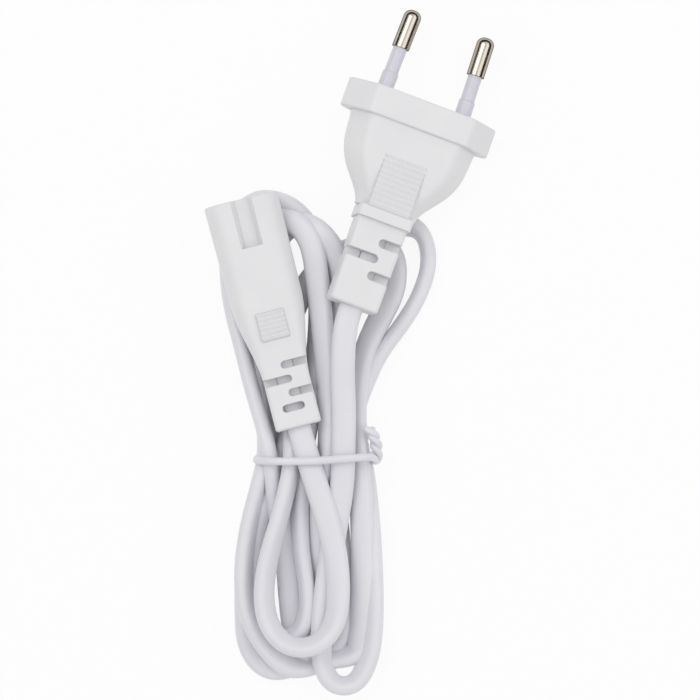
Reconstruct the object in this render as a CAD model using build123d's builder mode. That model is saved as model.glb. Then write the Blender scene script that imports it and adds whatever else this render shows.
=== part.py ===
from build123d import *
import os
from math import cos, radians, sin, tan

# Flat twin mains lead with a moulded two-pin plug and a figure-eight connector. The cord is folded
# into a loose hank, a twisted wire tie holds it at the waist, and the whole lies on a floor.
# +Y runs up the hank to the plug, +Z is up, and the origin is the middle of the footprint.

# Cord, and the gap between a moulding and what it is moulded round
CORD_WIDTH = 5.4
CORD_THICKNESS = 3.4
SEAT = 0.05

# Where the plug lies: middle of its front face, lean to the right, nose-down pitch, left side raised
PLUG_X = 16.3
PLUG_Y = 54.9
PLUG_LEAN = 19.5
PLUG_PITCH = 6.0
PLUG_ROLL = 8.0

# Plug pins, which converge towards their tips, and their sleeves
PIN_DIAMETER = 4.0
PIN_LENGTH = 19.0
PIN_BASE_SPACING = 18.6
PIN_TIP_SPACING = 17.5
PIN_DOME = 1.7
PIN_NECK_DIAMETER = 2.4
PIN_COLLAR_DIAMETER = 5.0
PIN_COLLAR_LENGTH = 2.0
PIN_SHANK_LENGTH = 4.0
PIN_BARREL_DIAMETER = 3.4
PIN_BARREL_LENGTH = 5.5
SLEEVE_LENGTH = 10.0
SLEEVE_WALL = 0.35
SLEEVE_FOOT_LENGTH = 4.0
SLEEVE_FOOT_WALL = 0.59
SLEEVE_ROOT = 3.0

# Plug insert, which holds the pins
INSERT_OVERHANG = 3.7
INSERT_HEIGHT = 8.4
INSERT_FRONT = 1.6
INSERT_BACK_GAP = 0.5

# Plug flange and bell
SHOULDER_WALL = 1.8
FLANGE_RIM = 2.7
FLANGE_RIM_HEIGHT = 0.85
FLANGE_SLOPE = 6.1
FLANGE_END = 2.2
FLANGE_THICKNESS = 6.6
FLANGE_ROUNDING = 2.2
FLANGE_EDGE = 0.25
NECK_WIDTH = 14.0
NECK_HEIGHT = 8.6
BODY_LENGTH = 26.1
BODY_SIDE = 3.2
BODY_ROUNDING = 3.2

# Plug grip pads, lip and strain relief
PLUG_PAD_WIDTH = 9.7
PLUG_PAD_LENGTH = 12.3
PLUG_PAD_HEIGHT = 11.4
PLUG_RIBS = 10
RIB_HEIGHT = 0.35
LIP_WIDTH = 12.5
LIP_LENGTH = 2.6
LIP_HEIGHT = 11.0
PLUG_RELIEF_LENGTH = 19.5
PLUG_RELIEF_SIDE = 3.1
PLUG_RELIEF_COVER = 2.55
PLUG_RELIEF_TAPER = 0.2
RELIEF_ROUNDING = 1.0
RELIEF_EDGE = 0.35
RELIEF_WEB = 2.4
PLUG_SLOT_WIDTH = 2.0
PLUG_SLOT_START = 4.4
PLUG_SLOT_PITCH = 3.8
PLUG_SLOTS = ((1, 5.3), (-1, 7.4), (1, 5.3))

# Cores inside the mouldings
CORE_DIAMETER = 2.2
CORE_SPACING = 2.7
WIRE_DIAMETER = 1.3
WIRE_OUTSIDE = 1.8
CRIMP_DEPTH = 4.6
SHEATH_INSIDE = 18.5

# Where the connector lies: middle of its mouth, lean to the left, nose-down pitch
CONNECTOR_X = -24.4
CONNECTOR_Y = 33.5
CONNECTOR_Z = 9.0
CONNECTOR_LEAN = -14.45
CONNECTOR_PITCH = 2.0

# Connector contacts and their carrier
CONTACT_SPACING = 8.6
CONTACT_BORE = 2.4
CONTACT_SKIN = 0.4
CONTACT_LENGTH = 12.0
CONTACT_FRONT = 1.4
CONTACT_BACK = 1.0
CONTACT_BARREL_DIAMETER = 2.8
CONTACT_BARREL_LENGTH = 5.0
ENTRY_CLEARANCE = 0.3
CARRIER_WALL = 1.25
CARRIER_WEB = 2.2
CARRIER_BACK = 1.0

# Connector body
MOUTH_WALL = 1.2
GRIP_TAPER = 0.25
GRIP_LENGTH = 22.0
TAPER_LENGTH = 19.0
TAIL_LENGTH = 11.3
TAIL_SIDE = 2.5
TAIL_COVER = 2.0
KEYWAY_WIDTH = 4.8
KEYWAY_FLOOR_WIDTH = 3.0
KEYWAY_LENGTH = 11.0
KEYWAY_SKIN = 0.8
CONNECTOR_PAD = 6.3
CONNECTOR_PAD_START = 3.9
CONNECTOR_PAD_RISE = 0.25
CONNECTOR_RIBS = 6
TAIL_SLOT_WIDTH = 1.7
TAIL_SLOT_END = 4.5
TAIL_SLOT_PITCH = 3.2
TAIL_SLOTS = ((1, 5.5), (-1, 6.4), (1, 5.7))
TAIL_WINDOW = 5.0

# Hank: the tied waist, and the size of the cord as it lies in the loops
WAIST_X = -8.1
WAIST_Y = -24.1
WAIST_WIDTH = 23.0
WAIST_HEIGHT = 11.2
WAIST_LENGTH = 9.6
LAID_WIDTH = 4.4
LAID_HEIGHT = 4.2
LAYER = 3.9
LOOP_ROOT = 5.0

# Loops of the hank: middle of the turn (x, y), radius of the turn, root at the waist (x), layer
UPPER_LOOPS = [
    ((-17.9, 25.7), 10.3, -14.5, 0),
    ((-13.4, 22.3), 9.2, -8.0, 0),
    ((-8.8, 20.6), 9.2, -4.5, 0),
    ((3.8, 15.2), 9.4, -3.2, 0),
    ((10.6, 20.2), 9.0, -3.2, 0),
]
LOWER_LOOPS = [
    ((-16.8, -63.8), 9.0, -14.5, 0),
    ((-12.6, -58.0), 7.4, -11.0, 0),
    ((-5.5, -60.5), 8.0, -6.0, 0),
    ((-10.4, -57.4), 15.2, -7.8, 1),
    ((-0.9, -69.2), 7.3, -2.2, 1),
    ((-10.9, -58.9), 10.7, -11.0, 2),
]

# Free stretches of cord from the mouldings to the waist, beyond their strain reliefs
PLUG_ROUTE = [(-1.7, -4.4, 13.2), (-1.2, -15.6, 12.0), (-1.6, -27.0, 10.6)]
CONNECTOR_ROUTE = [(-9.0, -27.8, 10.8)]
LEAD_PAST_PLUG = 4.8
LEAD_PAST_CONNECTOR = 4.0

# Wire tie
TIE_DIAMETER = 1.8
TIE_SIDES = 10
TIE_CLEARANCE = 0.15
TIE_SIDE_GAP = 0.4
TIE_CORNER = 5.6
TIE_END = 3.2
TIE_TWIST_LENGTH = 6.4
TIE_TWIST_STEPS = 8
TIE_STEP_ANGLE = 40.0
TIE_MELT = 0.1

# Sizes that follow from the ones above
sleeve_bore = PIN_NECK_DIAMETER + 2 * SEAT
sleeve_diameter = sleeve_bore + 2 * SLEEVE_WALL
sleeve_foot_diameter = sleeve_bore + 2 * SLEEVE_FOOT_WALL
crimp_bore = WIRE_DIAMETER + 2 * SEAT
insert_width = PIN_BASE_SPACING + 2 * INSERT_OVERHANG
shoulder_width = insert_width + 2 * SHOULDER_WALL
shoulder_height = INSERT_HEIGHT + 2 * SHOULDER_WALL
flange_width = shoulder_width + 2 * FLANGE_RIM
flange_height = shoulder_height + 2 * FLANGE_RIM_HEIGHT
flange_flat = flange_width - 2 * FLANGE_SLOPE
relief_width = CORD_WIDTH + 2 * PLUG_RELIEF_SIDE
relief_height = CORD_THICKNESS + 2 * PLUG_RELIEF_COVER
contact_diameter = CONTACT_BORE + 2 * CONTACT_SKIN
carrier_lobe = contact_diameter + 2 * SEAT + 2 * CARRIER_WALL
mouth_width = CONTACT_SPACING + carrier_lobe + 2 * MOUTH_WALL
mouth_height = carrier_lobe + 2 * MOUTH_WALL
mouth_rounding = 0.49 * mouth_height
grip_width = mouth_width - 2 * GRIP_TAPER
tail_width = CORD_WIDTH + 2 * TAIL_SIDE
tail_height = CORD_THICKNESS + 2 * TAIL_COVER
keyway_web = CARRIER_WEB + 2 * KEYWAY_SKIN

# Stations along each terminal, measured back from the plug's face and from the connector's mouth
collar_start = SLEEVE_ROOT
shank_start = collar_start + PIN_COLLAR_LENGTH
pin_barrel_start = shank_start + PIN_SHANK_LENGTH
pin_barrel_end = pin_barrel_start + PIN_BARREL_LENGTH
insert_length = pin_barrel_start - INSERT_BACK_GAP - INSERT_FRONT
pad_start = BODY_LENGTH - PLUG_PAD_LENGTH
lip_end = BODY_LENGTH + LIP_LENGTH
relief_end = lip_end + PLUG_RELIEF_LENGTH
plug_sheath_start = relief_end - SHEATH_INSIDE
contact_end = CONTACT_FRONT + CONTACT_LENGTH
contact_barrel_end = contact_end + CONTACT_BARREL_LENGTH
carrier_length = contact_end + CARRIER_BACK
tail_start = GRIP_LENGTH + TAPER_LENGTH
connector_length = tail_start + TAIL_LENGTH
connector_sheath_start = connector_length - SHEATH_INSIDE
connector_pad_start = GRIP_LENGTH + CONNECTOR_PAD_START

os.makedirs("parts", exist_ok=True)


def save(part, name):
    part.label = name
    export_step(part, f"parts/{name}.step")


def lying_frame(x, y, z, lean, pitch, roll):
    """Frame of a moulding on the floor: z back along its cord, x to its right and y up."""
    back = Vector(-sin(radians(lean)) * cos(radians(pitch)),
                  -cos(radians(lean)) * cos(radians(pitch)), sin(radians(pitch)))
    level = Vector(cos(radians(lean)), -sin(radians(lean)), 0)
    right = level * cos(radians(roll)) - back.cross(level) * sin(radians(roll))
    return Plane(origin=(x, y, z), x_dir=right, z_dir=back)


def top_plane(frame):
    """Plan of a moulding: x to its right, y back along its cord."""
    return Plane(origin=frame.origin, x_dir=frame.x_dir, z_dir=-frame.y_dir)


def side_plane(frame):
    """Side view of a moulding: x back along its cord, y up."""
    return Plane(origin=frame.origin, x_dir=frame.z_dir, z_dir=-frame.x_dir)


def axis_frame(frame, start, end):
    """Frame at a local point of a moulding with its z towards another local point."""
    first = frame.from_local_coords(Vector(*start))
    last = frame.from_local_coords(Vector(*end))
    return Plane(origin=first, x_dir=frame.y_dir, z_dir=last - first)


def bend_radii(points):
    """Largest tangent radius at each inner point of a route, from its shorter run and its turn."""
    radii = []
    for before, here, after in zip(points, points[1:], points[2:]):
        run_in = here - before
        run_out = after - here
        half_turn = radians(run_in.get_angle(run_out) / 2)
        radii.append(0.45 * min(run_in.length, run_out.length) / tan(half_turn))
    return radii


def faceted_outline(width, height, flat, end, rounding):
    """Six-sided moulding outline with short upright ends and soft corners."""
    with BuildLine() as outline:
        FilletPolyline((flat / 2, height / 2), (width / 2, end / 2), (width / 2, -end / 2),
                       (flat / 2, -height / 2), (-flat / 2, -height / 2), (-width / 2, -end / 2),
                       (-width / 2, end / 2), (-flat / 2, height / 2), radius=rounding, close=True)
    make_face(outline.edges())


def cord_section(gap=0.0):
    """Flat twin section of the cord, or of the channel that it is moulded in."""
    SlotOverall(CORD_WIDTH + 2 * gap, CORD_THICKNESS + 2 * gap)


def rod(frame, start, end, diameter, mode=Mode.ADD):
    """Round bar along a frame's z axis."""
    with BuildSketch(frame.offset(start)) as section:
        Circle(diameter / 2)
    extrude(section.sketch, amount=end - start, mode=mode)


def ribs(frame, start, length, width, height, count):
    """Rows of fine ridges across the top and the underside of a grip pad."""
    pitch = length / count
    for side in (1, -1):
        with BuildSketch(side_plane(frame)) as ridges:
            for i in range(count):
                middle = start + (i + 0.5) * pitch
                with BuildLine():
                    Polyline((middle - 0.4 * pitch, side * height / 2),
                             (middle + 0.4 * pitch, side * height / 2),
                             (middle, side * (height / 2 + RIB_HEIGHT)), close=True)
                make_face()
        extrude(ridges.sketch, amount=width / 2, both=True)


def relief_slot(frame, across, station, length, width, height):
    """Slot in the top and the underside of a strain relief, down to the web in its middle."""
    for face in (1, -1):
        with BuildSketch(top_plane(frame).offset(face * RELIEF_WEB / 2)) as slot:
            with Locations((across, station)):
                SlotOverall(length, width)
        extrude(slot.sketch, amount=face * height, mode=Mode.SUBTRACT)


# Frames of the plug and the connector. The flange's lower right edge stands on the floor.
flange_drop = flange_height / 2 * cos(radians(PLUG_ROLL)) + flange_flat / 2 * sin(radians(PLUG_ROLL))
PLUG = lying_frame(PLUG_X, PLUG_Y, flange_drop * cos(radians(PLUG_PITCH)), PLUG_LEAN, PLUG_PITCH, PLUG_ROLL)
CONNECTOR = lying_frame(CONNECTOR_X, CONNECTOR_Y, CONNECTOR_Z, CONNECTOR_LEAN, CONNECTOR_PITCH, 0)

# Frames of the pins, the contacts and the cores behind them
POLES = (("line", -1), ("neutral", 1))
toe_in = (PIN_BASE_SPACING - PIN_TIP_SPACING) / 2
barrel_spacing = PIN_BASE_SPACING + 2 * toe_in * pin_barrel_end / PIN_LENGTH
PIN = {}
CONTACT = {}
PLUG_CORE = {}
CONNECTOR_CORE = {}


def core_line(frame, side, terminal_spacing, terminal_end, sheath_start):
    """Frame of one insulated core from behind its crimp to the end of the sheath, and its length."""
    start = (side * terminal_spacing / 2, 0, terminal_end + WIRE_OUTSIDE + CORE_DIAMETER / 2)
    end = (side * CORE_SPACING / 2, 0, sheath_start - CORE_DIAMETER / 2)
    return axis_frame(frame, start, end), (Vector(*end) - Vector(*start)).length


for pole, side in POLES:
    pin_tip = (side * PIN_TIP_SPACING / 2, 0, -PIN_LENGTH)
    pin_behind = (side * (PIN_BASE_SPACING / 2 + toe_in), 0, PIN_LENGTH)
    contact_mouth = (side * CONTACT_SPACING / 2, 0, 0)
    contact_behind = (side * CONTACT_SPACING / 2, 0, CONTACT_LENGTH)
    PIN[pole] = axis_frame(PLUG, pin_tip, pin_behind).offset(PIN_LENGTH)
    CONTACT[pole] = axis_frame(CONNECTOR, contact_mouth, contact_behind)
    PLUG_CORE[pole] = core_line(PLUG, side, barrel_spacing, pin_barrel_end, plug_sheath_start)
    CONNECTOR_CORE[pole] = core_line(CONNECTOR, side, CONTACT_SPACING, contact_barrel_end,
                                     connector_sheath_start)

# Pins: round bright tip, thin neck under the sleeve, collar locked in the insert, crimp barrel
for pole, side in POLES:
    frame = PIN[pole]
    with BuildPart() as pin:
        rod(frame, -PIN_LENGTH, -SLEEVE_LENGTH, PIN_DIAMETER)
        tip = pin.edges().filter_by(GeomType.CIRCLE).sort_by(Axis(frame.origin, frame.z_dir))[0]
        fillet(tip, min(PIN_DOME, 0.45 * PIN_DIAMETER))
        rod(frame, -SLEEVE_LENGTH, collar_start, PIN_NECK_DIAMETER)
        rod(frame, collar_start, shank_start, PIN_COLLAR_DIAMETER)
        rod(frame, shank_start, pin_barrel_start, PIN_NECK_DIAMETER)
        rod(frame, pin_barrel_start, pin_barrel_end, PIN_BARREL_DIAMETER)
        rod(frame, pin_barrel_end - CRIMP_DEPTH, pin_barrel_end, crimp_bore, Mode.SUBTRACT)
    save(pin.part, f"{pole}_pin")

# Sleeves: white tube on each pin's neck, thicker at the foot, rooted in the insert
for pole, side in POLES:
    with BuildPart() as sleeve:
        rod(PIN[pole], -SLEEVE_LENGTH, -SLEEVE_FOOT_LENGTH, sleeve_diameter)
        rod(PIN[pole], -SLEEVE_FOOT_LENGTH, collar_start, sleeve_foot_diameter)
        rod(PIN[pole], -SLEEVE_LENGTH, collar_start, sleeve_bore, Mode.SUBTRACT)
    save(sleeve.part, f"{pole}_pin_sleeve")

# Plug insert: hard bridge moulded round both pins
with BuildPart() as plug_insert:
    with BuildSketch(PLUG.offset(INSERT_FRONT)):
        SlotOverall(insert_width, INSERT_HEIGHT)
    extrude(amount=insert_length)
    for pole, side in POLES:
        rod(PIN[pole], 0, collar_start, sleeve_foot_diameter + 2 * SEAT, Mode.SUBTRACT)
        rod(PIN[pole], collar_start, shank_start + SEAT, PIN_COLLAR_DIAMETER + 2 * SEAT, Mode.SUBTRACT)
        rod(PIN[pole], shank_start, pin_barrel_end, PIN_NECK_DIAMETER + 2 * SEAT, Mode.SUBTRACT)
save(plug_insert.part, "plug_insert")

# Bare wire ends in the crimps, and the insulated cores behind them
for end_name, frames, cores, barrel_end in (("plug", PIN, PLUG_CORE, pin_barrel_end),
                                            ("connector", CONTACT, CONNECTOR_CORE, contact_barrel_end)):
    for pole, side in POLES:
        with BuildPart() as wire:
            rod(frames[pole], barrel_end - CRIMP_DEPTH + SEAT, barrel_end + WIRE_OUTSIDE, WIRE_DIAMETER)
        save(wire.part, f"{end_name}_{pole}_wire")
        frame, length = cores[pole]
        with BuildPart() as core:
            rod(frame, 0, length, CORE_DIAMETER)
        save(core.part, f"{end_name}_{pole}_core")


def terminal_space(frames, cores, barrel_start, barrel_end, barrel_diameter):
    """Room in a moulding for the crimp barrels, the wire ends and the cores."""
    wire_end = barrel_end + WIRE_OUTSIDE
    for pole, side in POLES:
        rod(frames[pole], barrel_start, barrel_end + SEAT, barrel_diameter + 2 * SEAT, Mode.SUBTRACT)
        rod(frames[pole], barrel_end, wire_end + SEAT, WIRE_DIAMETER + 2 * SEAT, Mode.SUBTRACT)
        frame, length = cores[pole]
        rod(frame, -SEAT, length + SEAT, CORE_DIAMETER + 2 * SEAT, Mode.SUBTRACT)


# Plug body: flange, faceted bell, ribbed pads, lip and slotted strain relief in one soft moulding
bell_length = BODY_LENGTH - FLANGE_THICKNESS
BELL_STATIONS = ((0, 1), (0.35, 0.9), (0.67, 0.51), (0.86, 0.14), (1, 0))
with BuildPart() as plug_body:
    with BuildSketch(PLUG):
        faceted_outline(flange_width, flange_height, flange_flat, FLANGE_END, FLANGE_ROUNDING)
    extrude(amount=FLANGE_THICKNESS)
    along_plug = plug_body.faces().sort_by(Axis(PLUG.origin, PLUG.z_dir))
    chamfer(along_plug[0].edges() + along_plug[-1].edges(), FLANGE_EDGE)
    for along, swell in BELL_STATIONS:
        with BuildSketch(PLUG.offset(FLANGE_THICKNESS + along * bell_length)):
            width = NECK_WIDTH + swell * (shoulder_width - NECK_WIDTH)
            height = NECK_HEIGHT + swell * (shoulder_height - NECK_HEIGHT)
            faceted_outline(width, height, width - height + BODY_SIDE, BODY_SIDE, BODY_ROUNDING)
    loft()
    with BuildSketch(PLUG.offset(pad_start)):
        Rectangle(PLUG_PAD_WIDTH, PLUG_PAD_HEIGHT)
    extrude(amount=PLUG_PAD_LENGTH)
    ribs(PLUG, pad_start, PLUG_PAD_LENGTH, PLUG_PAD_WIDTH, PLUG_PAD_HEIGHT, PLUG_RIBS)
    with BuildSketch(PLUG.offset(BODY_LENGTH)):
        RectangleRounded(LIP_WIDTH, LIP_HEIGHT, RELIEF_ROUNDING)
    extrude(amount=LIP_LENGTH)
    for station, taper in ((lip_end, 0), (relief_end, PLUG_RELIEF_TAPER)):
        with BuildSketch(PLUG.offset(station)):
            RectangleRounded(relief_width - 2 * taper, relief_height - 2 * taper, RELIEF_ROUNDING)
    loft()
    relief_face = plug_body.faces().sort_by(Axis(PLUG.origin, PLUG.z_dir))[-1]
    chamfer(relief_face.edges(), RELIEF_EDGE)
    for i, (side, depth) in enumerate(PLUG_SLOTS):
        station = lip_end + PLUG_SLOT_START + i * PLUG_SLOT_PITCH
        relief_slot(PLUG, side * relief_width / 2, station, 2 * depth, PLUG_SLOT_WIDTH, relief_height)
    with BuildSketch(PLUG.offset(INSERT_FRONT - SEAT)):
        SlotOverall(insert_width + 2 * SEAT, INSERT_HEIGHT + 2 * SEAT)
    extrude(amount=insert_length + 2 * SEAT, mode=Mode.SUBTRACT)
    for pole, side in POLES:
        rod(PIN[pole], -INSERT_FRONT, collar_start, sleeve_foot_diameter + 2 * SEAT, Mode.SUBTRACT)
    terminal_space(PIN, PLUG_CORE, shank_start, pin_barrel_end, PIN_BARREL_DIAMETER)
    with BuildSketch(PLUG.offset(plug_sheath_start - SEAT)):
        cord_section(SEAT)
    extrude(amount=SHEATH_INSIDE + 2 * SEAT, mode=Mode.SUBTRACT)
save(plug_body.part, "plug_body")

# Contacts: turned tubes that the inlet's pins slide into, closed behind, with a crimp barrel
for pole, side in POLES:
    frame = CONTACT[pole]
    with BuildPart() as contact:
        rod(frame, CONTACT_FRONT, contact_end, contact_diameter)
        rod(frame, contact_end, contact_barrel_end, CONTACT_BARREL_DIAMETER)
        rod(frame, CONTACT_FRONT, contact_end - CONTACT_BACK, CONTACT_BORE, Mode.SUBTRACT)
        rod(frame, contact_barrel_end - CRIMP_DEPTH, contact_barrel_end, crimp_bore, Mode.SUBTRACT)
    save(contact.part, f"{pole}_contact")


def carrier_outline(gap=0.0):
    """Figure-eight of two round lobes and a web."""
    with Locations((-CONTACT_SPACING / 2, 0), (CONTACT_SPACING / 2, 0)):
        Circle(carrier_lobe / 2 + gap)
    Rectangle(CONTACT_SPACING, CARRIER_WEB + 2 * gap)


# Contact carrier: hard insert, flush with the mouth
with BuildPart() as contact_carrier:
    with BuildSketch(CONNECTOR):
        carrier_outline()
    extrude(amount=carrier_length)
    for pole, side in POLES:
        rod(CONTACT[pole], 0, CONTACT_FRONT, CONTACT_BORE + 2 * ENTRY_CLEARANCE, Mode.SUBTRACT)
        rod(CONTACT[pole], CONTACT_FRONT, contact_end + SEAT, contact_diameter + 2 * SEAT, Mode.SUBTRACT)
        rod(CONTACT[pole], contact_end, carrier_length, CONTACT_BARREL_DIAMETER + 2 * SEAT, Mode.SUBTRACT)
save(contact_carrier.part, "contact_carrier")

# Connector body: straight grip with a keyway at the mouth, a waisted taper and a slotted tail
TAPER_STATIONS = ((0, 1), (0.26, 0.86), (0.53, 0.5), (0.79, 0.15), (1, 0))
with BuildPart() as connector_body:
    for station, width in ((0, mouth_width), (GRIP_LENGTH, grip_width)):
        with BuildSketch(CONNECTOR.offset(station)):
            RectangleRounded(width, mouth_height, mouth_rounding)
    loft()
    for along, swell in TAPER_STATIONS:
        with BuildSketch(CONNECTOR.offset(GRIP_LENGTH + along * TAPER_LENGTH)):
            width = tail_width + swell * (grip_width - tail_width)
            height = tail_height + swell * (mouth_height - tail_height)
            rounding = RELIEF_ROUNDING + swell * (mouth_rounding - RELIEF_ROUNDING)
            RectangleRounded(width, height, min(rounding, 0.49 * height))
    loft()
    with BuildSketch(CONNECTOR.offset(tail_start)):
        RectangleRounded(tail_width, tail_height, RELIEF_ROUNDING)
    extrude(amount=TAIL_LENGTH)
    along_connector = connector_body.faces().sort_by(Axis(CONNECTOR.origin, CONNECTOR.z_dir))
    chamfer(along_connector[0].edges() + along_connector[-1].edges(), RELIEF_EDGE)
    pad_height = mouth_height + 2 * CONNECTOR_PAD_RISE
    with BuildSketch(CONNECTOR.offset(connector_pad_start)):
        Rectangle(CONNECTOR_PAD, pad_height)
    extrude(amount=CONNECTOR_PAD)
    ribs(CONNECTOR, connector_pad_start, CONNECTOR_PAD, CONNECTOR_PAD, pad_height, CONNECTOR_RIBS)
    for face in (1, -1):
        with BuildSketch(CONNECTOR):
            with BuildLine():
                Polyline((-KEYWAY_FLOOR_WIDTH / 2, face * keyway_web / 2),
                         (KEYWAY_FLOOR_WIDTH / 2, face * keyway_web / 2),
                         (KEYWAY_WIDTH / 2, face * mouth_height / 2),
                         (-KEYWAY_WIDTH / 2, face * mouth_height / 2), close=True)
            make_face()
        extrude(amount=KEYWAY_LENGTH, mode=Mode.SUBTRACT)
    window_station = connector_length - TAIL_SLOT_END
    for i, (side, depth) in enumerate(TAIL_SLOTS):
        station = window_station - (i + 1) * TAIL_SLOT_PITCH
        relief_slot(CONNECTOR, side * tail_width / 2, station, 2 * depth, TAIL_SLOT_WIDTH, mouth_height)
    relief_slot(CONNECTOR, 0, window_station, TAIL_WINDOW, TAIL_SLOT_WIDTH, mouth_height)
    with BuildSketch(CONNECTOR):
        carrier_outline(SEAT)
    extrude(amount=carrier_length + SEAT, mode=Mode.SUBTRACT)
    terminal_space(CONTACT, CONNECTOR_CORE, contact_end, contact_barrel_end, CONTACT_BARREL_DIAMETER)
    with BuildSketch(CONNECTOR.offset(connector_sheath_start - SEAT)):
        cord_section(SEAT)
    extrude(amount=SHEATH_INSIDE + 2 * SEAT, mode=Mode.SUBTRACT)
save(connector_body.part, "connector_body")

# Leads: the cord from inside each strain relief to the waist of the hank
LEADS = {
    "plug_lead": (PLUG, plug_sheath_start, relief_end + LEAD_PAST_PLUG, PLUG_ROUTE),
    "connector_lead": (CONNECTOR, connector_sheath_start, connector_length + LEAD_PAST_CONNECTOR,
                       CONNECTOR_ROUTE),
}
leads = {}
for name, (frame, start, past, route) in LEADS.items():
    points = [frame.from_local_coords(Vector(0, 0, station)) for station in (start, past)]
    points += [Vector(*point) for point in route]
    radii = bend_radii(points)
    with BuildPart() as lead:
        with BuildLine() as lead_line:
            FilletPolyline(*points, radius=radii)
        with BuildSketch(frame.offset(start)) as lead_section:
            cord_section()
        sweep()
    length = lead_line.wires()[0].length
    print(name, "radii", [round(radius, 1) for radius in radii], "length", round(length, 1), "volume",
          round(lead.part.volume, 1), "section times length", round(lead_section.sketch.area * length, 1))
    leads[name] = lead.part
    save(lead.part, name)

# Hank: the tied waist with its loops fanned out above and below, open inside each loop
WAIST = Plane(origin=(WAIST_X, WAIST_Y, TIE_DIAMETER + TIE_CLEARANCE + WAIST_HEIGHT / 2),
              x_dir=(1, 0, 0), z_dir=(0, -1, 0))
tie_groove = TIE_DIAMETER + 2 * TIE_SIDE_GAP
with BuildPart() as cord_hank:
    with BuildSketch(WAIST.offset(-WAIST_LENGTH / 2)):
        SlotOverall(WAIST_WIDTH, WAIST_HEIGHT)
    extrude(amount=WAIST_LENGTH)
    for turn, turn_radius, root, layer in UPPER_LOOPS + LOWER_LOOPS:
        with BuildSketch(Plane.XY.offset(layer * LAYER)):
            with Locations(turn):
                Circle(turn_radius)
            with Locations((root, WAIST_Y)):
                Circle(LOOP_ROOT)
            make_hull()
            offset(amount=-LAID_WIDTH, mode=Mode.SUBTRACT)
        extrude(amount=LAID_HEIGHT)
    with BuildSketch(WAIST.offset(-tie_groove / 2)):
        Rectangle(3 * WAIST_WIDTH, 3 * WAIST_HEIGHT)
        SlotOverall(WAIST_WIDTH, WAIST_HEIGHT, mode=Mode.SUBTRACT)
    extrude(amount=tie_groove, mode=Mode.SUBTRACT)
    for lead_part in leads.values():
        add(lead_part, mode=Mode.SUBTRACT)
save(cord_hank.part, "cord_hank")

# Wire tie: once round the waist, then its two ends twisted together up beside the hank
tie_half_width = WAIST_WIDTH / 2 + TIE_CLEARANCE + TIE_DIAMETER / 2
tie_half_height = WAIST_HEIGHT / 2 + TIE_CLEARANCE + TIE_DIAMETER / 2
twist_radius = TIE_DIAMETER / 2 + TIE_CLEARANCE / 2
twist_middle = tie_half_width + twist_radius
twist_start = TIE_END - TIE_DIAMETER / 2
twist_width = TIE_DIAMETER + TIE_MELT
tie_points = [(twist_middle, twist_radius, -TIE_END), (twist_middle, twist_radius, 0),
              (tie_half_width, tie_half_height, 0), (-tie_half_width, tie_half_height, 0),
              (-tie_half_width, -tie_half_height, 0), (tie_half_width, -tie_half_height, 0),
              (twist_middle, -twist_radius, 0), (twist_middle, -twist_radius, -TIE_END)]
tie_points = [WAIST.from_local_coords(Vector(*point)) for point in tie_points]
with BuildPart() as twist_tie:
    with BuildLine() as tie_line:
        FilletPolyline(*tie_points, radius=[min(radius, TIE_CORNER) for radius in bend_radii(tie_points)])
    tie_wire = tie_line.wires()[0]
    with BuildSketch(Plane(origin=tie_wire @ 0, z_dir=tie_wire % 0)):
        RegularPolygon(TIE_DIAMETER / 2, TIE_SIDES)
    sweep()
    for i in range(TIE_TWIST_STEPS):
        station = twist_start + TIE_TWIST_LENGTH * i / (TIE_TWIST_STEPS - 1)
        with BuildSketch(WAIST.offset(-station)):
            with Locations((twist_middle, 0)):
                SlotOverall(2 * twist_radius + twist_width, twist_width, rotation=90 + i * TIE_STEP_ANGLE)
    loft()
save(twist_tie.part, "twist_tie")
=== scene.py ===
from math import cos, pi, radians, sin

import bpy
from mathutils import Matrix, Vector


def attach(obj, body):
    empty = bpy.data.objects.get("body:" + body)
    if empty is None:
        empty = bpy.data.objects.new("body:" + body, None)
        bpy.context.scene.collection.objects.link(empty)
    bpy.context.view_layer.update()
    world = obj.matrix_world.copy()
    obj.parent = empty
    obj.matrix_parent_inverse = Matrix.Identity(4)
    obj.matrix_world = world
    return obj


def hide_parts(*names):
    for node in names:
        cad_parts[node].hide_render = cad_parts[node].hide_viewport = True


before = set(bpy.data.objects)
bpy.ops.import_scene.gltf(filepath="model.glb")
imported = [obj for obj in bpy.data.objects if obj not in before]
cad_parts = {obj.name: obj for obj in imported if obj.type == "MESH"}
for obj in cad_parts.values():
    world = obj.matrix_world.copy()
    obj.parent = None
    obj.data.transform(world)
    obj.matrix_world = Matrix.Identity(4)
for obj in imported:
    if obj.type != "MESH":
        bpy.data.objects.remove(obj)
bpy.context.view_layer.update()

# Camera: the lead lies on a table and is seen from straight above, from far enough off that its upper
# and lower strands are drawn at nearly the same scale. The view is a square of table.
MM = 0.001
VIEW_WIDTH = 156.25 * MM
VIEW_DISTANCE = 1.6
VIEW_END = 10
MID_HEIGHT = 8 * MM
SENSOR_WIDTH = 36
camera = bpy.data.objects.new("camera", bpy.data.cameras.new("camera"))
camera.data.sensor_width = SENSOR_WIDTH
camera.data.lens = SENSOR_WIDTH * VIEW_DISTANCE / VIEW_WIDTH
camera.data.clip_end = VIEW_END
camera.location = (0, 0, VIEW_DISTANCE + MID_HEIGHT)
bpy.context.scene.collection.objects.link(camera)
bpy.context.scene.camera = camera

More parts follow.
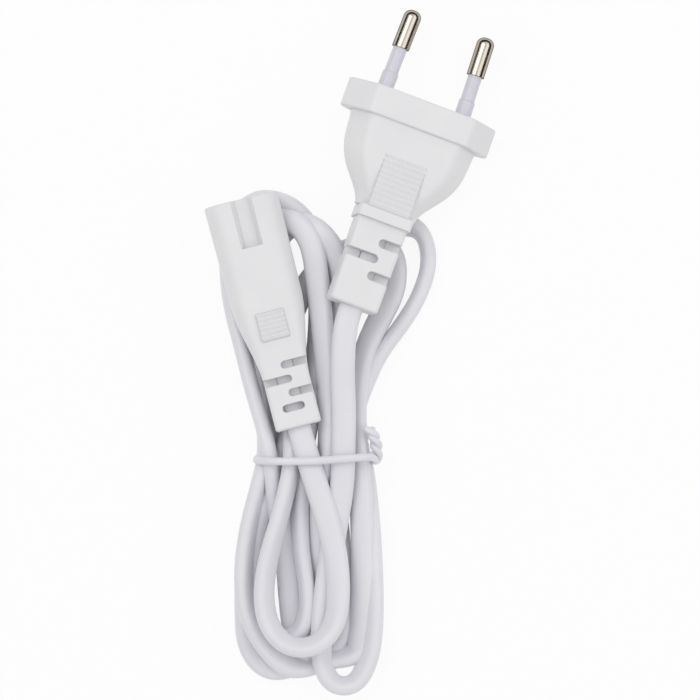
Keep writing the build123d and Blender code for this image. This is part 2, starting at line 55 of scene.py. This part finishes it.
# Cord: flat twin mains cord, 5.4 by 3.4 mm, in an extruded PVC sheath. It is folded back and forth into
# a hank of loose loops above and below the tie. Each stretch lists points from the connector to the plug:
# x, y and z in mm, and the lay in degrees, where 0 is flat on the table and 90 is on edge.
CORD_WIDTH = 5.4
CORD_THICKNESS = 3.4
CORD_FULLNESS = 0.7
CONNECTOR_LEAD = [
    (-16.0, 0.8, 10.2, 0), (-13.6, -8.3, 10.5, 0), (-11.4, -17.1, 10.8, 0), (-9.4, -24.1, 11.2, 0)]
FRONT_LOOP = [
    (-7.2, -31.0, 11.3, 0), (-4.8, -38.5, 11.0, 5), (-2.9, -47.0, 10.4, 15), (-2.4, -56.0, 10.4, 30),
    (-3.8, -62.4, 10.8, 45), (-8.0, -66.3, 11.0, 55), (-13.8, -66.3, 10.6, 55), (-18.2, -61.8, 9.8, 50),
    (-19.5, -54.5, 9.4, 50), (-18.1, -45.5, 9.2, 55), (-14.9, -35.0, 9.6, 70), (-12.6, -24.1, 9.0, 65)]
LEFT_INNER_LOOP = [
    (-12.8, -14.0, 5.0, 15), (-17.6, 0.0, 4.0, 0), (-20.6, 10.0, 3.4, 0), (-22.2, 20.0, 2.4, 0),
    (-20.6, 27.8, 2.4, 0), (-16.0, 29.4, 3.6, 5), (-11.0, 28.0, 6.2, 12), (-8.2, 23.2, 7.2, 15),
    (-7.2, 15.0, 6.8, 20), (-6.2, 6.0, 8.4, 32), (-5.4, -5.0, 9.0, 50), (-5.0, -14.0, 8.8, 62),
    (-5.2, -24.1, 8.4, 65)]
LEFT_OUTER_TURN = [
    (-7.2, -33.5, 6.4, 60), (-7.6, -44.6, 4.6, 60), (-6.4, -56.0, 2.8, 35), (-8.2, -65.4, 5.0, 20),
    (-13.2, -71.2, 2.0, 15), (-19.0, -71.4, 1.9, 10), (-22.9, -66.2, 1.9, 20), (-23.5, -57.0, 2.2, 40),
    (-23.4, -46.0, 2.6, 60), (-21.0, -34.0, 2.8, 60), (-18.4, -24.1, 3.4, 65)]
MIDDLE_LOOP = [
    (-18.0, -16.0, 2.4, 40), (-16.2, -2.0, 1.9, 10), (-12.6, 9.6, 1.9, 5), (-8.6, 16.4, 1.9, 5),
    (-4.0, 20.6, 1.9, 5), (1.0, 23.0, 1.9, 5), (6.0, 23.6, 1.9, 5), (9.4, 21.8, 2.2, 15),
    (10.3, 17.6, 3.0, 25), (9.5, 12.4, 3.0, 15), (6.4, 6.6, 3.0, 20), (2.8, -1.0, 3.8, 45),
    (0.9, -12.0, 6.0, 35), (1.8, -24.1, 7.4, 30)]
RIGHT_INNER_TURN = [
    (2.6, -33.5, 7.2, 25), (2.9, -46.0, 6.2, 15), (2.8, -57.0, 5.2, 10), (2.6, -64.6, 4.4, 15),
    (1.0, -68.4, 3.6, 40), (-4.6, -69.0, 3.4, 50), (-10.0, -71.0, 4.0, 45), (-14.2, -70.8, 5.8, 30),
    (-19.2, -66.0, 6.2, 45), (-22.9, -59.0, 6.6, 50), (-24.0, -50.0, 6.6, 60), (-22.8, -40.0, 6.6, 65),
    (-20.6, -31.0, 6.4, 75), (-18.9, -24.1, 6.6, 80)]
HIDDEN_LOOP = [
    (-18.9, -16.5, 5.4, 70), (-20.2, -5.0, 3.4, 45), (-20.4, 5.0, 1.8, 0), (-18.2, 14.0, 1.8, 0),
    (-17.0, 20.6, 1.9, 0), (-16.0, 26.2, 1.9, 0), (-11.4, 28.8, 3.2, 5), (-6.9, 26.6, 6.6, 5),
    (-3.8, 22.6, 5.8, 10), (-1.8, 18.0, 5.6, 15), (-1.5, 11.0, 5.6, 25), (-2.8, -2.0, 5.4, 55),
    (-3.6, -14.0, 4.4, 60), (-3.8, -24.1, 3.8, 60)]
HIDDEN_TURN = [
    (-2.6, -36.0, 3.2, 60), (-1.4, -50.0, 2.6, 60), (-1.0, -60.0, 2.6, 60), (-3.0, -66.0, 2.2, 25),
    (-8.0, -68.0, 1.9, 5), (-12.2, -65.0, 1.9, 5), (-13.3, -57.0, 1.9, 5), (-14.1, -46.0, 2.4, 15),
    (-16.2, -35.0, 5.4, 40), (-17.6, -24.1, 8.8, 80)]
LEFT_OUTER_LOOP = [
    (-19.5, -16.7, 8.0, 85), (-22.2, -7.5, 6.2, 80), (-24.0, 0.5, 4.4, 70), (-26.2, 12.0, 2.4, 20),
    (-26.8, 22.0, 2.2, 0), (-25.4, 29.0, 2.2, 0), (-21.0, 33.4, 2.4, 20), (-15.6, 33.2, 2.8, 45),
    (-11.2, 30.0, 1.9, 10), (-8.0, 25.0, 1.9, 5), (-6.6, 16.0, 4.2, 10), (-6.8, 5.0, 4.6, 40),
    (-7.8, -4.0, 5.6, 40), (-8.6, -14.0, 5.2, 60), (-10.6, -24.1, 5.6, 60)]
INNER_TURN = [
    (-11.4, -33.5, 5.2, 60), (-11.0, -44.6, 5.2, 70), (-9.8, -51.5, 5.4, 75), (-9.4, -57.5, 5.4, 75),
    (-10.8, -63.0, 5.4, 65), (-15.2, -65.0, 4.8, 55), (-19.8, -61.6, 3.4, 60), (-21.2, -53.0, 3.0, 60),
    (-20.6, -44.0, 3.4, 60), (-18.6, -34.0, 4.0, 60), (-15.2, -24.1, 4.0, 70)]
RIGHT_LOOP = [
    (-13.4, -17.5, 3.0, 70), (-8.8, -6.0, 1.9, 0), (-3.2, 4.0, 1.9, 0), (0.6, 13.0, 2.2, 5),
    (4.8, 22.6, 5.6, 5), (10.8, 28.6, 1.9, 15), (16.4, 26.8, 2.7, 80), (18.0, 20.0, 2.7, 80),
    (15.9, 12.6, 2.7, 80), (11.8, 5.8, 2.7, 80), (6.7, -0.6, 2.9, 75), (3.2, -7.8, 3.2, 65),
    (0.5, -15.4, 3.6, 60), (3.0, -24.6, 3.8, 60)]
RIGHT_OUTER_TURN = [
    (4.1, -34.0, 4.6, 50), (4.9, -47.0, 5.4, 40), (5.2, -60.0, 5.6, 40), (4.4, -69.0, 5.4, 50),
    (1.2, -75.2, 5.0, 60), (-4.2, -75.0, 5.0, 60), (-6.7, -69.0, 6.4, 50), (-6.1, -60.5, 7.2, 30),
    (-5.0, -50.0, 7.6, 20), (-2.9, -38.0, 8.8, 5), (-1.7, -30.0, 10.4, 0), (-1.5, -24.1, 11.2, 0)]
PLUG_LEAD = [
    (-1.3, -14.0, 12.2, 0), (-1.7, -4.4, 13.2, 0), (-1.2, 4.8, 13.8, 0), (0.3, 9.7, 13.4, 0),
    (3.4, 18.4, 12.4, 0), (6.4, 27.1, 11.4, 0)]
ROUTE = (
    CONNECTOR_LEAD + FRONT_LOOP + LEFT_INNER_LOOP + LEFT_OUTER_TURN + MIDDLE_LOOP + RIGHT_INNER_TURN
    + HIDDEN_LOOP + HIDDEN_TURN + LEFT_OUTER_LOOP + INNER_TURN + RIGHT_LOOP + RIGHT_OUTER_TURN + PLUG_LEAD)

section_line = bpy.data.curves.new("cord_section", "CURVE")
section_line.dimensions = "2D"
section_line.resolution_u = 5
oval = section_line.splines.new("BEZIER")
oval.bezier_points.add(3)
oval.use_cyclic_u = True
for point, (across, up) in zip(oval.bezier_points, ((1, 0), (0, -1), (-1, 0), (0, 1))):
    x = across * CORD_WIDTH / 2 * MM
    y = up * CORD_THICKNESS / 2 * MM
    pull_x = up * CORD_FULLNESS * CORD_WIDTH / 2 * MM
    pull_y = -across * CORD_FULLNESS * CORD_THICKNESS / 2 * MM
    point.co = (x, y, 0)
    point.handle_left = (x - pull_x, y - pull_y, 0)
    point.handle_right = (x + pull_x, y + pull_y, 0)
section = bpy.data.objects.new("cord_section", section_line)

cord_line = bpy.data.curves.new("cord", "CURVE")
cord_line.dimensions = "3D"
cord_line.twist_mode = "Z_UP"
cord_line.resolution_u = 8
strand = cord_line.splines.new("NURBS")
strand.points.add(len(ROUTE) - 1)
for point, (x, y, z, lay) in zip(strand.points, ROUTE):
    point.co = (x * MM, y * MM, z * MM, 1)
    point.tilt = radians(lay)
strand.order_u = 3
strand.use_endpoint_u = True
strand.use_smooth = True
cord_line.bevel_mode = "OBJECT"
cord_line.bevel_object = section
cord_line.use_fill_caps = True
cord = bpy.data.objects.new("cord", cord_line)
bpy.context.scene.collection.objects.link(cord)


def linear(hex_colour):
    """Linear colour of an sRGB hex value."""
    channels = [int(hex_colour[i:i + 2], 16) / 255 for i in (1, 3, 5)]
    return [c / 12.92 if c <= 0.04045 else ((c + 0.055) / 1.055) ** 2.4 for c in channels] + [1]


def add_node(tree, kind, inputs, **settings):
    """New shader node with its settings, whose inputs are values or the outputs that they are linked to."""
    node = tree.nodes.new(kind)
    for name, value in settings.items():
        setattr(node, name, value)
    for name, value in inputs.items():
        if isinstance(value, bpy.types.NodeSocket):
            tree.links.new(value, node.inputs[name])
        else:
            node.inputs[name].default_value = value
    return node


FIRST_COLOUR = 6
SECOND_COLOUR = 7
MIXED_COLOUR = 2
NOISE_LOW = 0.3
NOISE_HIGH = 0.7
PLASTIC_GLOSS_SPREAD = 0.06
SKIN_STRENGTH = 0.5
# Painted shade: a moulding's recesses are greyed towards this colour, as far as ambient occlusion finds
# them hidden.
RECESS_SHADE = "#C6C5C8"
RECESS_SHADE_SHARE = 0.25
RECESS_SHADE_REACH = 2.5
DEEP_RECESS = 0.4
OPEN_FACE = 0.95


def plastic(name, pale, deep, cloud, grain, depth, roughness, edge=0):
    """Satin plastic: slightly cloudy colour and a fine uneven skin. A moulding also has edges that the tool
    rounded, and painted shade that greys its recesses where ambient occlusion finds them. Sizes are in mm:
    of a cloud, of a grain of the skin and its depth, and of an edge's rounding."""
    material = bpy.data.materials.new(name)
    material.use_nodes = True
    tree = material.node_tree
    shader = tree.nodes["Principled BSDF"]
    place = add_node(tree, "ShaderNodeTexCoord", {}).outputs["Object"]
    clouds = add_node(tree, "ShaderNodeTexNoise", {"Vector": place, "Scale": 1 / (cloud * MM), "Detail": 3})
    tone = add_node(tree, "ShaderNodeMix", {
        "Factor": clouds.outputs["Fac"], FIRST_COLOUR: linear(deep), SECOND_COLOUR: linear(pale)},
        data_type="RGBA")
    colour = tone.outputs[MIXED_COLOUR]
    skin = add_node(tree, "ShaderNodeTexNoise", {"Vector": place, "Scale": 1 / (grain * MM), "Detail": 2})
    gloss = add_node(tree, "ShaderNodeMapRange", {
        "Value": skin.outputs["Fac"], "From Min": NOISE_LOW, "From Max": NOISE_HIGH,
        "To Min": roughness - PLASTIC_GLOSS_SPREAD, "To Max": roughness + PLASTIC_GLOSS_SPREAD})
    relief = add_node(tree, "ShaderNodeBump", {
        "Height": skin.outputs["Fac"], "Strength": SKIN_STRENGTH, "Distance": depth * MM})
    if edge:
        rounded = add_node(tree, "ShaderNodeBevel", {"Radius": edge * MM}, samples=6)
        tree.links.new(rounded.outputs["Normal"], relief.inputs["Normal"])
        # Painted shade: ambient occlusion greys the moulding's recesses in its base colour.
        hollow = add_node(tree, "ShaderNodeAmbientOcclusion", {"Distance": RECESS_SHADE_REACH * MM}, samples=8)
        recess_shade = add_node(tree, "ShaderNodeMapRange", {
            "Value": hollow.outputs["AO"], "From Min": DEEP_RECESS, "From Max": OPEN_FACE,
            "To Min": RECESS_SHADE_SHARE, "To Max": 0})
        shaded_tone = add_node(tree, "ShaderNodeMix", {
            "Factor": recess_shade.outputs["Result"], FIRST_COLOUR: colour, SECOND_COLOUR: linear(RECESS_SHADE)},
            data_type="RGBA")
        colour = shaded_tone.outputs[MIXED_COLOUR]
    tree.links.new(colour, shader.inputs["Base Color"])
    tree.links.new(gloss.outputs["Result"], shader.inputs["Roughness"])
    tree.links.new(relief.outputs["Normal"], shader.inputs["Normal"])
    return material


# Extruded PVC is smooth and satin: a soft broad light runs along each strand, and its tone isn't quite
# even. The grain of its skin is too fine to show, and is drawn coarser.
cord_line.materials.append(plastic(
    "extruded_pvc_sheath", "#EDECF0", "#E3E2E8", cloud=14, grain=0.5, depth=0.012, roughness=0.42))
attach(cord, "root")
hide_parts("cord_hank", "plug_lead", "connector_lead")

# Tie: soft wire in a round plastic coat, put once round the hank's waist. Its two ends are twisted together
# up the right side of the hank and bent over. Points are in mm.
TIE_DIAMETER = 1.8
TIE_ROUND = [
    (5.4, -24.0, 11.0), (4.2, -23.8, 14.1), (-1.0, -24.1, 14.1), (-8.0, -24.7, 14.1), (-15.0, -24.8, 13.6),
    (-20.6, -24.7, 11.4), (-20.9, -24.4, 7.0), (-20.2, -24.1, 2.6), (-14.0, -24.0, 1.0), (-2.0, -24.0, 1.0),
    (4.2, -24.1, 1.4), (5.6, -24.3, 4.6)]
TIE_AXIS = [(5.8, -25.0, 7.8), (6.0, -22.7, 8.6), (5.8, -20.8, 9.2), (5.2, -19.0, 9.8), (4.3, -17.6, 10.2)]
TIE_TURNS = 1.7
TIE_SPREAD = 0.7
TIE_STEPS = 22
TIE_THINNED = 0.85


def tie_end(start_angle):
    """One end of the tie, as points wound about the line that both ends follow."""
    points = []
    for step in range(TIE_STEPS + 1):
        along = step / TIE_STEPS * (len(TIE_AXIS) - 1)
        i = min(int(along), len(TIE_AXIS) - 2)
        middle = Vector(TIE_AXIS[i]).lerp(Vector(TIE_AXIS[i + 1]), along - i)
        angle = start_angle + 2 * pi * TIE_TURNS * step / TIE_STEPS
        points.append(middle + TIE_SPREAD * Vector((cos(angle), 0, sin(angle))))
    return points


tie_line = bpy.data.curves.new("tie", "CURVE")
tie_line.dimensions = "3D"
tie_line.resolution_u = 6
tie_line.bevel_depth = TIE_DIAMETER / 2 * MM
tie_line.bevel_resolution = 5
tie_line.use_fill_caps = True
wire = tie_line.splines.new("NURBS")
tie_points = tie_end(pi / 2)[::-1] + [Vector(point) for point in TIE_ROUND] + tie_end(-pi / 2)
wire.points.add(len(tie_points) - 1)
for i, (point, place) in enumerate(zip(wire.points, tie_points)):
    point.co = (*(place * MM), 1)
    twisted = i <= TIE_STEPS + 1 or i >= len(tie_points) - TIE_STEPS - 2
    point.radius = TIE_THINNED if twisted else 1
wire.order_u = 3
wire.use_endpoint_u = True
wire.use_smooth = True
tie = bpy.data.objects.new("tie", tie_line)
bpy.context.scene.collection.objects.link(tie)

# The coat is PVC drawn over the wire, as white as the cord and a little glossier, so that thin lights mark
# its twists. The grain of its skin is drawn coarser than it is, to show.
tie_line.materials.append(plastic(
    "coated_wire", "#EDECF1", "#E2E1E8", cloud=6, grain=0.4, depth=0.01, roughness=0.36))
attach(tie, "root")
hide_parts("twist_tie")

# Plug body and connector body: soft PVC, moulded over the inner parts and the ends of the cord. Both keep
# the frame's solids, and their edges carry the small rounding that the tool leaves, in mm.
MOULDED_EDGE = 0.28


def dress(material, *names):
    """Give some of the frame's solids their material."""
    for name in names:
        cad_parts[name].material_slots[0].material = material


# Moulded PVC is satin and a little cloudy, with softly lit edges and painted shade in its slots and
# grooves. The grain that the tool leaves on it is drawn coarser than it is, to show.
moulded_pvc = plastic(
    "moulded_pvc", "#EDEDEE", "#E6E6E8", cloud=9, grain=0.35, depth=0.01, roughness=0.46, edge=MOULDED_EDGE)
dress(moulded_pvc, "plug_body", "connector_body")

# Plug insert and contact carrier: hard plastic, moulded first, that holds the pins and the contacts. The
# soft bodies are moulded round them. Moulded nylon is glossier than PVC, and a warmer white.
# Its recesses also get painted shade, like the PVC's.
moulded_nylon = plastic(
    "moulded_nylon", "#ECECE8", "#E2E2DD", cloud=7, grain=0.3, depth=0.006, roughness=0.34, edge=0.2)
dress(moulded_nylon, "plug_insert", "contact_carrier")

# Pin sleeves: thin white insulation on the neck of each pin, moulded on before the pin goes into the plug.
# The metal below makes this thin nylon look a little darker and bluer than the bodies.
# Its recesses also get painted shade, like the PVC's.
sleeve_nylon = plastic(
    "sleeve_nylon", "#DEDDE5", "#D3D2DD", cloud=5, grain=0.3, depth=0.006, roughness=0.4, edge=0.25)
dress(sleeve_nylon, "line_pin_sleeve", "neutral_pin_sleeve")

# Pins: turned brass rods with a round end, plated with bright nickel and crimped to the cores. Both keep
# the frame's solids, and their tails are held in the insert.
METAL_GLOSS_SPREAD = 0.05
RING_WIDENING = 0.15


def metal(name, bright, dull, rim, turning, roughness):
    """Bare metal turned on a lathe: fine rings across its length, in mm apart, that vary its tone and
    gloss, and a deeper tone where the surface is seen edge on."""
    material = bpy.data.materials.new(name)
    material.use_nodes = True
    tree = material.node_tree
    shader = tree.nodes["Principled BSDF"]
    shader.inputs["Metallic"].default_value = 1
    shader.inputs["Specular Tint"].default_value = linear(rim)
    place = add_node(tree, "ShaderNodeTexCoord", {}).outputs["Object"]
    turned = add_node(tree, "ShaderNodeMapping", {
        "Vector": place, "Scale": (RING_WIDENING, 1, RING_WIDENING)})
    rings = add_node(tree, "ShaderNodeTexNoise", {
        "Vector": turned.outputs["Vector"], "Scale": 1 / (turning * MM), "Detail": 2})
    tone = add_node(tree, "ShaderNodeMix", {
        "Factor": rings.outputs["Fac"], FIRST_COLOUR: linear(dull), SECOND_COLOUR: linear(bright)},
        data_type="RGBA")
    gloss = add_node(tree, "ShaderNodeMapRange", {
        "Value": rings.outputs["Fac"], "From Min": NOISE_LOW, "From Max": NOISE_HIGH,
        "To Min": roughness - METAL_GLOSS_SPREAD, "To Max": roughness + METAL_GLOSS_SPREAD})
    tree.links.new(tone.outputs[MIXED_COLOUR], shader.inputs["Base Color"])
    tree.links.new(gloss.outputs["Result"], shader.inputs["Roughness"])
    return material


# Nickel plate is a bright and slightly warm mirror, with dark streaks along its sides. The marks of turning
# are drawn further apart than they are, to show.
nickel_plate = metal("nickel_plate", "#CCC4B9", "#B2A99D", "#746D65", turning=0.4, roughness=0.18)
dress(nickel_plate, "line_pin", "neutral_pin")

# Contacts: turned brass tubes in the connector, which slide over the pins of the inlet. Bare brass is
# yellow and softer in its shine than the pins, and its turning is drawn as coarse as theirs.
turned_brass = metal("turned_brass", "#D9B25E", "#BF9443", "#C9A95F", turning=0.4, roughness=0.28)
dress(turned_brass, "line_contact", "neutral_contact")

# Cores and wires: brown and blue PVC insulation, stripped back to the copper that goes into the crimps.
# The insulation is satin like the sheath, and the bare copper is reddish, with an uneven soft shine.
CORE_COLOURS = {"line": ("#6B4327", "#5A361F"), "neutral": ("#2F62A8", "#27548F")}
stranded_copper = metal("stranded_copper", "#D98A5E", "#B96F47", "#C98A66", turning=0.25, roughness=0.32)
for pole, (pale, deep) in CORE_COLOURS.items():
    core_pvc = plastic(f"{pole}_core_pvc", pale, deep, cloud=4, grain=0.3, depth=0.006, roughness=0.42)
    dress(core_pvc, f"plug_{pole}_core", f"connector_{pole}_core")
    dress(stranded_copper, f"plug_{pole}_wire", f"connector_{pole}_wire")

# Table: a wide sheet of white paper. It glows faintly towards the camera and in reflections, so that it is
# white there, and still takes the shadow of the lead.
WHITE = (1, 1, 1, 1)
PAPER_SIZE = 6
PAPER_WHITE = 0.9
PAPER_ROUGHNESS = 0.9


def looked_at(tree):
    """1 where the eye meets a surface straight, in a reflection or through glass, and 0 for other light."""
    path = add_node(tree, "ShaderNodeLightPath", {})
    seen = path.outputs["Is Camera Ray"]
    for way in ("Is Glossy Ray", "Is Transmission Ray"):
        either = add_node(tree, "ShaderNodeMath", {0: seen, 1: path.outputs[way]}, operation="MAXIMUM")
        seen = either.outputs[0]
    return seen


bpy.ops.mesh.primitive_plane_add(size=PAPER_SIZE, location=(0, 0, 0))
table = bpy.context.object
table.name = "table"
paper = bpy.data.materials.new("white_paper")
paper.use_nodes = True
tree = paper.node_tree
shader = tree.nodes["Principled BSDF"]
shader.inputs["Base Color"].default_value = linear("#FAFAFA")
shader.inputs["Roughness"].default_value = PAPER_ROUGHNESS
share = add_node(tree, "ShaderNodeMath", {0: looked_at(tree), 1: PAPER_WHITE}, operation="MULTIPLY")
glow = add_node(tree, "ShaderNodeEmission", {"Color": WHITE, "Strength": 1})
blend = add_node(tree, "ShaderNodeMixShader", {
    0: share.outputs[0], 1: shader.outputs[0], 2: glow.outputs[0]})
tree.links.new(blend.outputs[0], tree.nodes["Material Output"].inputs["Surface"])
table.data.materials.append(paper)

# Light: two large soft boxes overhead and an even white room. Dark boards beside the table show only in
# reflections, where they draw the dark streaks along the bright pins. Each lamp has its place and size in
# metres and its power in watts.
LAMPS = {"key": ((-0.5, 0.5, 1.2), 0.7, 3.4), "fill": ((0.9, 0.1, 0.9), 1.1, 2.4)}
ROOM_LIGHT = 0.69
for name, (place, size, power) in LAMPS.items():
    lamp = bpy.data.objects.new(name, bpy.data.lights.new(name, "AREA"))
    lamp.data.size = size
    lamp.data.energy = power
    lamp.location = place
    lamp.rotation_euler = (-Vector(place)).to_track_quat("-Z", "Y").to_euler()
    bpy.context.scene.collection.objects.link(lamp)

room = bpy.data.worlds.new("room")
room.use_nodes = True
tree = room.node_tree
level = add_node(tree, "ShaderNodeMapRange", {"Value": looked_at(tree), "To Min": ROOM_LIGHT, "To Max": 1})
sky = tree.nodes["Background"]
sky.inputs["Color"].default_value = WHITE
tree.links.new(level.outputs["Result"], sky.inputs["Strength"])
bpy.context.scene.world = room

BOARD_AWAY = 0.5
BOARD_HEIGHT = 0.36
BOARD_LENGTH = 1.6
black_card = bpy.data.materials.new("black_card")
black_card.use_nodes = True
black_card.node_tree.nodes["Principled BSDF"].inputs["Base Color"].default_value = linear("#1C1B1A")
for turn in (0, pi / 2, pi):
    bpy.ops.mesh.primitive_plane_add(size=1)
    board = bpy.context.object
    board.name = "board"
    board.scale = (BOARD_HEIGHT, BOARD_LENGTH, 1)
    board.rotation_euler = (0, pi / 2, turn)
    board.location = (BOARD_AWAY * cos(turn), BOARD_AWAY * sin(turn), BOARD_HEIGHT / 2)
    board.data.materials.append(black_card)
    board.visible_camera = False
    board.visible_diffuse = False
    board.visible_shadow = False

bpy.context.scene.view_settings.view_transform = "Standard"
